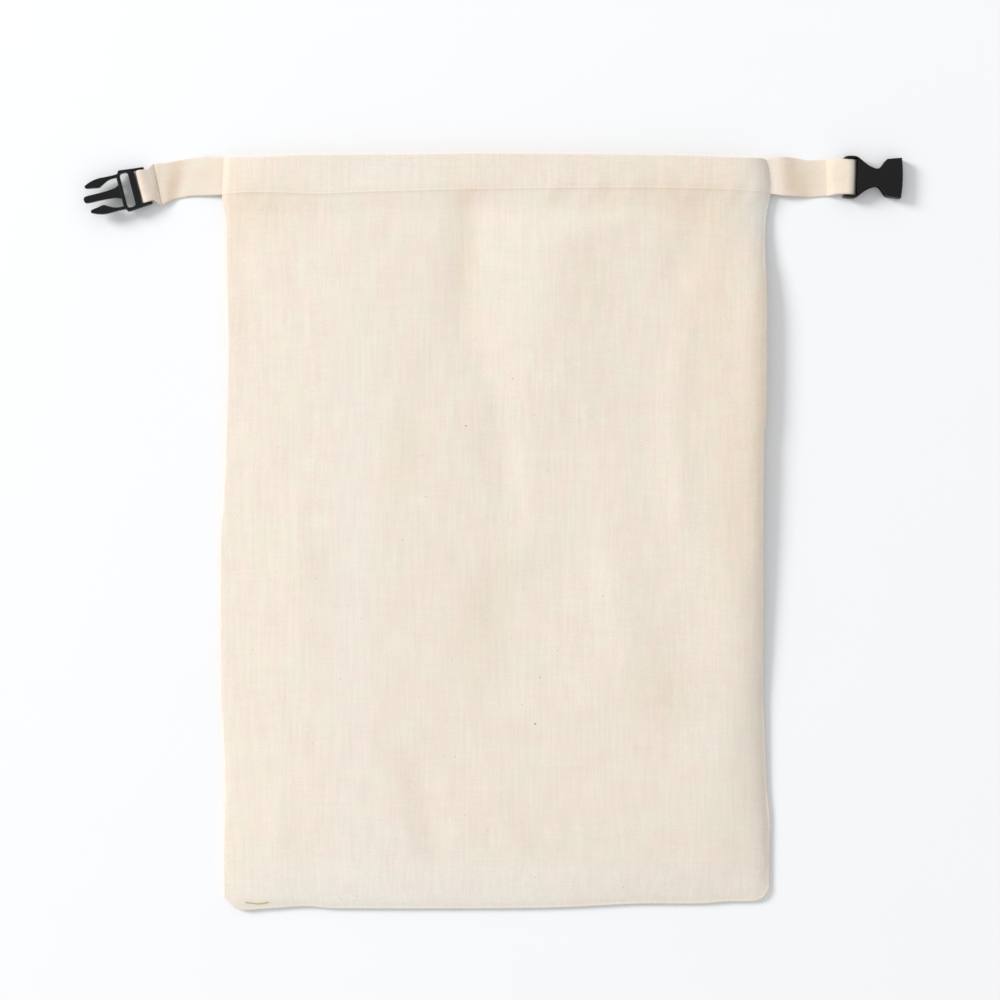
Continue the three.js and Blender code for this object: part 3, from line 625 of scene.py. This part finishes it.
def painted_shading(x, y, table):
    """Painted shade and painted light: how much darker or lighter the cloth is coloured at a place."""
    total = np.zeros(np.shape(x))
    for at_x, at_y, across, along, lean, shade in zip(*table.values()):
        beyond = y - at_y
        total += shade * np.exp(-(((x - at_x - lean * beyond) / across) ** 2) - (beyond / along) ** 2)
    return total


# Meshes

def piece(name, points, faces, material):
    """A smooth-shaded mesh that rides with the bag, from points in millimetres."""
    mesh = bpy.data.meshes.new(name)
    mesh.from_pydata((np.asarray(points) * MM).tolist(), [], faces)
    mesh.polygons.foreach_set("use_smooth", [True] * len(mesh.polygons))
    mesh.update()
    mesh.materials.append(material)
    obj = bpy.data.objects.new(name, mesh)
    bpy.context.scene.collection.objects.link(obj)
    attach(obj, "root")
    return obj


def paint_shading(obj, shading):
    """Gives each point of a piece its painted shade and painted light."""
    obj.data.attributes.new(SHADING_ATTRIBUTE, "FLOAT", "POINT").data.foreach_set("value", shading)


def joined(parts):
    """One list of points and one of faces from several."""
    points, faces, start = [], [], 0
    for some_points, some_faces in parts:
        points.append(np.asarray(some_points))
        faces.extend([tuple(start + k for k in face) for face in some_faces])
        start += len(some_points)
    return np.concatenate(points), faces


def closed_sheet(x, y, upper, lower):
    """A closed mesh between two heights over a grid in plan, with rounded edges."""
    count_rows, count_columns = x.shape
    size = count_rows * count_columns
    index = np.arange(size).reshape(count_rows, count_columns)
    a, b, c, d = index[:-1, :-1], index[:-1, 1:], index[1:, 1:], index[1:, :-1]
    top = np.stack([a, b, c, d], -1).reshape(-1, 4)
    under = np.stack([a, d, c, b], -1).reshape(-1, 4) + size
    border = np.concatenate([index[0, :-1], index[:-1, -1], index[-1, :0:-1], index[:0:-1, 0]])
    flat_upper, flat_lower = (np.stack([x, y, height], -1).reshape(-1, 3) for height in (upper, lower))
    above, below = flat_upper[border], flat_lower[border]
    ahead = np.roll(above, -1, 0) - np.roll(above, 1, 0)
    out = unit(np.stack([ahead[:, 1], -ahead[:, 0], np.zeros(len(border))], -1))
    middle = (above + below) / 2
    rings, ring_faces = [], []
    previous = border
    for k in range(1, EDGE_ROUNDS + 1):
        angle = np.pi * k / EDGE_ROUNDS
        if k < EDGE_ROUNDS:
            rings.append(middle + (above - middle) * np.cos(angle) + out * RIM * np.sin(angle))
            current = 2 * size + (k - 1) * len(border) + np.arange(len(border))
        else:
            current = border + size
        ring_faces.append(np.stack([previous, current, np.roll(current, -1), np.roll(previous, -1)], -1))
        previous = current
    points = np.concatenate([flat_upper, flat_lower, *rings])
    faces = np.concatenate([top, under, *ring_faces])
    return points, faces.tolist()


def tube_faces(rings, around):
    """Faces between neighbouring rings of points, and a cap at each end."""
    index = np.arange(rings * around).reshape(rings, around)
    beyond = np.roll(index, -1, 1)
    faces = np.stack([index[:-1], beyond[:-1], beyond[1:], index[1:]], -1).reshape(-1, 4).tolist()
    return [*faces, index[0][::-1].tolist(), index[-1].tolist()]


def tube(path, radii, flatten=1.0):
    """A closed tube along a path, with a radius for each of its points."""
    path = np.asarray(path, float)
    ahead = unit(np.gradient(path, axis=0))
    beside = unit(np.cross((0, 0, 1), ahead))
    up = np.cross(ahead, beside)
    angles = np.linspace(0, 2 * np.pi, THREAD_SIDES, endpoint=False)[None, :, None]
    radii = np.asarray(radii, float)[:, None, None]
    ring = beside[:, None] * np.cos(angles) + up[:, None] * np.sin(angles) * flatten
    points = (path[:, None] + radii * ring).reshape(-1, 3)
    return points, tube_faces(len(path), THREAD_SIDES)


def stitch(centre, ahead, normal, length):
    """One stitch that is pulled down into the cloth and dives into it at both ends."""
    t = STITCH_SHARES[:, None]
    shown = 1 - (2 * t - 1) ** 4
    height = mix(-STITCH["dive"] * THREAD_RADIUS, STITCH["proud"] - THREAD_RADIUS, shown)
    radii = THREAD_RADIUS * mix(STITCH["tip"], 1, shown[:, 0])
    return tube(centre + ahead * (t - 0.5) * length + normal * height, radii)


# Panels

def stations(length, step, near_start, near_end):
    """Distances from 0 to length: the given ones near each end, and even ones of about one step between."""
    first, last = near_start[-1], length - near_end[-1]
    count = max(1, round((last - first) / step))
    middle = np.linspace(first, last, count + 1)[1:-1]
    return np.concatenate([near_start, middle, length - np.array(near_end)[::-1]])


def panel_grid(inset, overhang, step):
    """Plan of a panel: rows from the bottom seam over the hem's edge to the mouth."""
    low, high, top = bottom_edge(0), hem_line(0), mouth_edge(0)
    width = right_edge(0) - left_edge(0)
    across = stations(width, step, EDGE_ROWS, EDGE_ROWS) / width
    body = stations(high - low, step, EDGE_ROWS, BELOW_HEM_ROWS) / (high - low)
    hem = stations(top - high, min(step, PANEL_STEP["hem"]), HEM_ROWS, MOUTH_ROWS)[1:] / (top - high)
    grid_x, grid_y = [], []
    for in_hem, share in [(False, s) for s in body] + [(True, s) for s in hem]:
        level = mix(high, top, share) if in_hem else mix(low, high, share)
        left = left_edge(level) + (inset - overhang["left"])
        right = right_edge(level) - (inset - overhang["right"])
        x = mix(left, right, across)
        start = hem_line(x) if in_hem else bottom_edge(x) + (inset - overhang["bottom"])
        end = mouth_edge(x) - inset if in_hem else hem_line(x)
        grid_x.append(x)
        grid_y.append(mix(start, end, share))
    return np.array(grid_x), np.array(grid_y)


def front_cloth(material):
    x, y = panel_grid(RIM, OVERHANG, PANEL_STEP["front"])
    outer = front_outer(x, y)
    points, faces = closed_sheet(x, y, outer, outer - front_thickness(x, y))
    obj = piece("front_cloth", points, faces, material)
    beyond_hem = points[:, 1] - hem_line(points[:, 0])
    # The cloth's colour carries painted shade and painted light from the patches, and painted shade along the
    # hem's edge
    paint_shading(obj, painted_shading(points[:, 0], points[:, 1], SHADING_PATCHES) + bump(beyond_hem, HEM_SHADE))
    return obj


def back_cloth(material):
    x, y = panel_grid(RIM + TOUCH, NO_OVERHANG, PANEL_STEP["back"])
    return piece("back_cloth", *closed_sheet(x, y, back_top(x, y), back_bottom(x, y)), material)


def hem_stitches(name, surface, side, material):
    """A row of topstitching along a hem. Side is 1 on an upper surface and -1 on a lower one."""
    parts = []
    start = left_edge(HEM_ROW["level"]) + HEM_ROW["margin"]
    end = right_edge(HEM_ROW["level"]) - HEM_ROW["margin"]
    slope_step = HEM_ROW["slope_step"]
    for x in np.linspace(start, end, int((end - start) / STITCH["pitch"])):
        ends = np.array([x - STITCH["length"] / 2, x, x + STITCH["length"] / 2])
        y = hem_line(ends) + HEM_STITCH["at"]
        z = surface(ends, y)
        higher, lower = (surface(ends[1:2], y[1:2] + step)[0] for step in (slope_step, -slope_step))
        ahead = unit(np.array([ends[2] - ends[0], y[2] - y[0], z[2] - z[0]]))
        normal = unit(np.cross(ahead, (0, 1, (higher - lower) / (2 * slope_step))) * side)
        parts.append(stitch(np.array([x, y[1], z[1]]), ahead, normal, STITCH["length"]))
    return piece(name, *joined(parts), material)


# Straps

def attitude(half):
    return Euler(np.radians((half["roll"], half["tip"], half["turn"])), "XYZ").to_matrix()


def on_buckle(half, along, across, up):
    """A point of a buckle half, given along its axis, across it and up."""
    return np.array(attitude(half) @ Vector((along, across, up))) + half["at"]


def strap_stations(strap):
    """The two edges of a strap's middle surface, from the seam under the bar, round it and back to the sewn
    end, and half its thickness there."""
    half = strap["half"]
    loop_radius = BAR_RADIUS + BAND_PLAY + BAND / 2

    def ends(along, up):
        across = strap["mouth_side"] * strap["half_width"]
        return np.concatenate([on_buckle(half, along, across, up), on_buckle(half, along, -across, up)])

    columns = SECTION_COLUMNS.split()
    sections = np.stack([strap["sections"][column] for column in columns], -1)
    sections[:, 2::3] -= (STRAP - BAND) / 2
    lower = np.vstack([sections, ends(half["bar"], -loop_radius)])
    gone = distances((lower[:, :3] + lower[:, 3:]) / 2)
    track = dict(zip(columns, lower.T), gone=gone)

    def on_lower(place):
        return np.stack([read(track, "gone", column, place) for column in columns], -1)

    length = gone[-1]
    along = on_lower(np.linspace(0, length, int(length / BAND_MESH["step"]) + 1)[:-1])
    angles = np.linspace(-np.pi / 2, np.pi / 2, BAND_MESH["loop"])
    loop = [ends(half["bar"] + strap["loop_reach"] * np.cos(a), loop_radius * np.sin(a)) for a in angles]
    tail = strap["tail"]
    t = np.linspace(0, 1, int(tail / BAND_MESH["tail_step"]) + 1)[1:]
    up = np.array(attitude(half) @ Vector((0, 0, 1)))
    thick = mix(strap["edge"], BAND, smooth((1 - t) * tail / strap["taper"])) / 2
    laid = BAND / 2 + thick + BAND_PLAY
    lift = mix(2 * loop_radius, laid, t ** LAID_BACK)[:, None] * np.tile(up, 2)
    back = on_lower(length - t * tail) + lift
    half_thick = np.concatenate([np.full(len(along) + len(loop), BAND / 2), thick])
    return np.vstack([along, loop, back]), half_thick


def strap_cloth(side, material):
    """A strap as one band with rounded long edges, closed at both ends."""
    strap = STRAPS[side]
    edges, thick = strap_stations(strap)
    mouth, body = edges[:, :3], edges[:, 3:]
    middle = (mouth + body) / 2
    gone = distances(middle)
    across = body - mouth
    half_width = np.linalg.norm(across, axis=1, keepdims=True) / 2
    across /= 2 * half_width
    normal = unit(np.cross(across, np.gradient(middle, axis=0)))
    straight = np.linspace(-1, 1, BAND_MESH["across"] + 1)
    turn = np.linspace(0, np.pi, BAND_MESH["round"] + 1)[1:-1]
    template = [(s, 0, 1) for s in straight] + [(1, np.sin(a), np.cos(a)) for a in turn]
    template += [(-s, 0, -1) for s in straight] + [(-1, -np.sin(a), -np.cos(a)) for a in turn]
    rings = []
    for flat, out, up in template:
        r = thick[:, None]
        place = flat * (half_width - r) + out * r
        hills = wander(
            gone / BAND_UNEVEN["along"],
            place[:, 0] / BAND_UNEVEN["across"] + BAND_UNEVEN["shift"],
            strap["seed"],
        )
        height = up * r + BAND_UNEVEN["rise"] * hills[:, None]
        rings.append(middle + across * place + normal * height)
    points = np.stack(rings, 1).reshape(-1, 3)
    obj = piece(f"{side}_strap", points, tube_faces(len(middle), len(template)), material)
    for cap in obj.data.polygons[-2:]:
        cap.use_smooth = False
    # The strap's colour carries painted shade from its patches
    paint_shading(obj, painted_shading(points[:, 0], points[:, 1], STRAP_SHADING_PATCHES))
    return obj


def strap_stitches(side, material):
    """A row of stitches across a strap, next to its sewn end."""
    edges, thick = strap_stations(STRAPS[side])
    middle = (edges[:, :3] + edges[:, 3:]) / 2
    gone = distances(middle)
    k = np.searchsorted(gone, gone[-1] - STRAP_ROW["from_end"])
    mouth, body = edges[k, :3], edges[k, 3:]
    width = np.linalg.norm(body - mouth)
    across = (body - mouth) / width
    normal = unit(np.cross(across, middle[k + 1] - middle[k - 1]))
    first, last = STRAP_ROW["margin"], width - STRAP_ROW["margin"]
    parts = []
    for place in np.linspace(first, last, int((last - first) / STRAP_ROW["pitch"]) + 1):
        centre = mouth + across * place + normal * (thick[k] + STRAP_ROW["lift"])
        parts.append(stitch(centre, across, normal, STRAP_ROW["length"]))
    return piece(f"strap_stitches_{side}", *joined(parts), material)


# Small things on the cloth

def flecks(material):
    parts = []
    random = np.random.default_rng(FLECK["seed"])
    t = np.linspace(-1, 1, FLECK["points"])
    for x, y, size in zip(FLECKS["x"], FLECKS["y"], FLECKS["size"]):
        turn = random.uniform(0, np.pi)
        line_x = x + size * t * np.cos(turn)
        line_y = y + size * t * np.sin(turn)
        path = np.stack([line_x, line_y, front_outer(line_x, line_y) + FLECK["proud"]], -1)
        radii = size * FLECK["width"] * np.sqrt(np.maximum(1 - t * t, FLECK["tip"]))
        parts.append(tube(path, radii, FLECK["flatten"]))
    return piece("cotton_flecks", *joined(parts), material)


def loose_thread(material):
    """The green thread end near the lower left corner."""
    x = np.linspace(LOOSE_THREAD["x"][0], LOOSE_THREAD["x"][-1], LOOSE_END["points"])
    y = read(LOOSE_THREAD, "x", "y", x)
    z = front_outer(x, y) + LOOSE_END["radius"] * LOOSE_END["lift"]
    points, faces = tube(np.stack([x, y, z], -1), np.full(len(x), LOOSE_END["radius"]))
    return piece("loose_thread", points, faces, material)


# Materials

class Nodes:
    """Short names for building a material's nodes."""

    def __init__(self, name):
        self.material = bpy.data.materials.new(name)
        self.material.use_nodes = True
        self.tree = self.material.node_tree
        self.shader = self.tree.nodes["Principled BSDF"]

    def add(self, kind, **settings):
        node = self.tree.nodes.new(kind)
        for key, value in settings.items():
            setattr(node, key, value)
        return node

    def link(self, source, target):
        self.tree.links.new(source, target)

    def place(self, scale):
        """Object coordinates in millimetres times a scale for each axis."""
        coordinates = self.add("ShaderNodeTexCoord")
        mapping = self.add("ShaderNodeMapping")
        mapping.inputs["Scale"].default_value = [s / MM for s in scale]
        self.link(coordinates.outputs["Object"], mapping.inputs["Vector"])
        return mapping.outputs["Vector"]

    def noise(self, scale, detail=2.0):
        """Soft noise around a half, with about one hill for each unit of scaled millimetres."""
        texture = self.add("ShaderNodeTexNoise")
        texture.inputs["Scale"].default_value = 1.0
        texture.inputs["Detail"].default_value = detail
        self.link(self.place(scale), texture.inputs["Vector"])
        return texture.outputs["Fac"]

    def math(self, operation, a, b=None):
        node = self.add("ShaderNodeMath", operation=operation)
        for slot, value in zip(node.inputs, (a, b)):
            if value is None:
                continue
            if isinstance(value, (int, float)):
                slot.default_value = value
            else:
                self.link(value, slot)
        return node.outputs[0]

    def blend(self, share, a, b, mode="MIX"):
        """One colour over another. A share that is a number is set, and one that is a socket is linked."""
        node = self.add("ShaderNodeMix", data_type="RGBA", blend_type=mode)
        slots = {
            "share": next(s for s in node.inputs if s.name == "Factor" and s.type == "VALUE"),
            "a": next(s for s in node.inputs if s.name == "A" and s.type == "RGBA"),
            "b": next(s for s in node.inputs if s.name == "B" and s.type == "RGBA"),
        }
        for name, value in (("share", share), ("a", a), ("b", b)):
            if isinstance(value, (int, float)):
                slots[name].default_value = value
            elif isinstance(value, tuple):
                slots[name].default_value = (*value, 1.0)
            else:
                self.link(value, slots[name])
        return next(s for s in node.outputs if s.type == "RGBA")

    def look(self, colour, rough, specular=None):
        """The shader's colour, roughness and, where it isn't the usual one, its specular level."""
        self.link(colour, self.shader.inputs["Base Color"])
        if isinstance(rough, (int, float)):
            self.shader.inputs["Roughness"].default_value = rough
        else:
            self.link(rough, self.shader.inputs["Roughness"])
        if specular is not None:
            self.shader.inputs["Specular IOR Level"].default_value = specular

    def bump(self, height, distance):
        node = self.add("ShaderNodeBump")
        node.inputs["Distance"].default_value = distance * MM
        node.inputs["Strength"].default_value = 1.0
        self.link(height, node.inputs["Height"])
        self.link(node.outputs["Normal"], self.shader.inputs["Normal"])


def stretched(wide, long, axis):
    """A noise scale for hills that are wide in millimetres, and long along one axis."""
    return tuple(1 / (long if name == axis else wide) for name in "XYZ")


def even(scale):
    return (scale,) * 3


def cloth_material(name, warp, weft, streak):
    """Waxed plain-weave cotton. Warp and weft are the axes, X or Y, that its long and cross yarns follow."""
    n = Nodes(name)
    long_noise = n.noise(stretched(YARN["wide"], YARN["long"], warp), YARN["detail"])
    yarns = n.math("SUBTRACT", long_noise, 0.5)
    cross_noise = n.noise(stretched(CROSS_YARN["wide"], CROSS_YARN["long"], weft), CROSS_YARN["detail"])
    cross = n.math("SUBTRACT", cross_noise, 0.5)

    axes = n.add("ShaderNodeSeparateXYZ")
    n.link(n.place(even(np.pi / WEAVE["pitch"])), axes.inputs["Vector"])
    waves = []
    for axis, wide, long in (
        ("X", WOBBLE["across"], WOBBLE["along"]),
        ("Y", WOBBLE["along"], WOBBLE["across"]),
    ):
        wobble = n.math("MULTIPLY", n.noise(stretched(wide, long, "Y"), WOBBLE["detail"]), WOBBLE["turn"])
        waves.append(n.math("SINE", n.math("ADD", axes.outputs[axis], wobble)))
    weave = n.math("MULTIPLY", *waves)

    patches = n.add("ShaderNodeMapRange")
    patches.inputs["From Min"].default_value = PATCH["low"]
    patches.inputs["From Max"].default_value = PATCH["high"]
    n.link(n.noise(even(1 / PATCH["size"])), patches.inputs["Value"])
    colour = n.blend(patches.outputs["Result"], PINK, STRAW)

    shade = n.math("ADD", 1.0, n.math("MULTIPLY", yarns, streak))
    shade = n.math("ADD", shade, n.math("MULTIPLY", cross, streak * CROSS_YARN["shade"]))
    for mark in (BLOTCH, GRAIN):
        soaked = n.math("SUBTRACT", n.noise(even(1 / mark["size"]), mark["detail"]), 0.5)
        shade = n.math("ADD", shade, n.math("MULTIPLY", soaked, mark["shade"]))
    shade = n.math("ADD", shade, n.math("MULTIPLY", weave, WEAVE["shade"]))
    # Painted shade and painted light from each point's attribute, tinted browner as it darkens
    shading_node = n.add("ShaderNodeAttribute", attribute_name=SHADING_ATTRIBUTE)
    tinted = n.add("ShaderNodeCombineColor")
    for channel, share in SHADING_TINT.items():
        tint = n.math("MULTIPLY", shading_node.outputs["Fac"], share)
        n.link(n.math("ADD", shade, tint), tinted.inputs[channel])

    rough_noise = n.noise(even(1 / WAXED["rough_size"]))
    rough = n.math("ADD", WAXED["rough"], n.math("MULTIPLY", rough_noise, WAXED["rough_play"]))
    n.look(n.blend(1.0, colour, tinted.outputs["Color"], "MULTIPLY"), rough, WAXED["specular"])
    cross_relief = n.math("MULTIPLY", cross, CROSS_YARN["relief"])
    relief = n.math("ADD", n.math("MULTIPLY", weave, WEAVE["relief"]), n.math("ADD", yarns, cross_relief))
    n.bump(relief, WAXED["bump"])
    return n.material


def thread_material(name, colour):
    """Spun thread with its twist."""
    n = Nodes(name)
    twist = n.noise(even(SPUN["twist"]))
    dark = tuple(SPUN["dark"] * c for c in colour)
    n.look(n.blend(twist, dark, colour), SPUN["rough"])
    n.bump(twist, SPUN["bump"])
    return n.material


def fleck_material():
    n = Nodes("seed_fleck")
    n.look(n.blend(n.noise(even(SEED["mottle"])), SEED["dark"], SEED["light"]), SEED["rough"])
    return n.material


def plastic_material():
    """Black moulded plastic with a fine texture and dull patches from handling."""
    n = Nodes("black_plastic")
    worn = n.noise(even(PLASTIC["worn"]))
    rough = n.math("ADD", PLASTIC["rough"], n.math("MULTIPLY", worn, PLASTIC["rough_play"]))
    n.look(n.blend(worn, PLASTIC["dark"], PLASTIC["light"]), rough, PLASTIC["specular"])
    n.bump(n.noise(even(PLASTIC["grain"]), PLASTIC["detail"]), PLASTIC["bump"])
    return n.material


def floor_material():
    n = Nodes("pale_floor")
    low = tuple(FLOOR["dark"] * c for c in FLOOR["colour"])
    n.look(n.blend(n.noise(even(FLOOR["mottle"])), low, FLOOR["colour"]), FLOOR["rough"], 0.0)
    return n.material


# The bag

body_cotton = cloth_material("waxed_cotton", "Y", "X", STREAK["body"])
strap_cotton = cloth_material("waxed_cotton_strap", "X", "Y", STREAK["strap"])
sewing_thread = thread_material("cream_thread", CREAM_THREAD)

front = front_cloth(body_cotton)
back = back_cloth(body_cotton)
left_strap = strap_cloth("left", strap_cotton)
right_strap = strap_cloth("right", strap_cotton)
front_stitches = hem_stitches("hem_stitches_front", front_outer, 1, sewing_thread)
back_stitches = hem_stitches("hem_stitches_back", back_bottom, -1, sewing_thread)
left_stitches = strap_stitches("left", sewing_thread)
right_stitches = strap_stitches("right", sewing_thread)
specks = flecks(fleck_material())
thread = loose_thread(thread_material("green_thread", GREEN_THREAD))

for obj, node in (
    (front, "front_panel"),
    (back, "back_panel"),
    (left_strap, "strap_left"),
    (right_strap, "strap_right"),
):
    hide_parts(node)

black = plastic_material()
for name in ("buckle_plug", "buckle_socket"):
    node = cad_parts[name]
    node.data.materials.clear()
    node.data.materials.append(black)


# Floor, light and camera

def stage():
    half = FLOOR["half"]
    z = -FLOOR["drop"] * MM
    corners = [(-half, -half, z), (half, -half, z), (half, half, z), (-half, half, z)]
    mesh = bpy.data.meshes.new("floor")
    mesh.from_pydata(corners, [], [(0, 1, 2, 3)])
    mesh.materials.append(floor_material())
    floor = bpy.data.objects.new("floor", mesh)
    bpy.context.scene.collection.objects.link(floor)


def lights():
    world = bpy.data.worlds.new("studio")
    world.use_nodes = True
    background = world.node_tree.nodes["Background"]
    background.inputs["Color"].default_value = (*AMBIENT["colour"], 1.0)
    background.inputs["Strength"].default_value = AMBIENT["strength"]
    bpy.context.scene.world = world
    data = bpy.data.lights.new("softbox", "AREA")
    data.shape = "DISK"
    data.size = LIGHT["size"]
    data.energy = LIGHT["power"]
    softbox = bpy.data.objects.new("softbox", data)
    towards = Vector(LIGHT["towards"]).normalized()
    softbox.location = towards * LIGHT["distance"]
    softbox.rotation_mode = "QUATERNION"
    softbox.rotation_quaternion = towards.to_track_quat("Z", "Y")
    bpy.context.scene.collection.objects.link(softbox)


def camera():
    data = bpy.data.cameras.new("camera")
    data.lens = VIEW["lens"]
    data.sensor_width = VIEW["sensor"]
    data.clip_start = CLIP["near"]
    data.clip_end = CLIP["far"]
    eye = bpy.data.objects.new("camera", data)
    height = VIEW["width"] * VIEW["lens"] / VIEW["sensor"] + VIEW["plane"]
    eye.location = Vector((VIEW["x"], VIEW["y"], height)) * MM
    bpy.context.scene.collection.objects.link(eye)
    bpy.context.scene.camera = eye
    bpy.context.scene.view_settings.view_transform = "Standard"


stage()
lights()
camera()
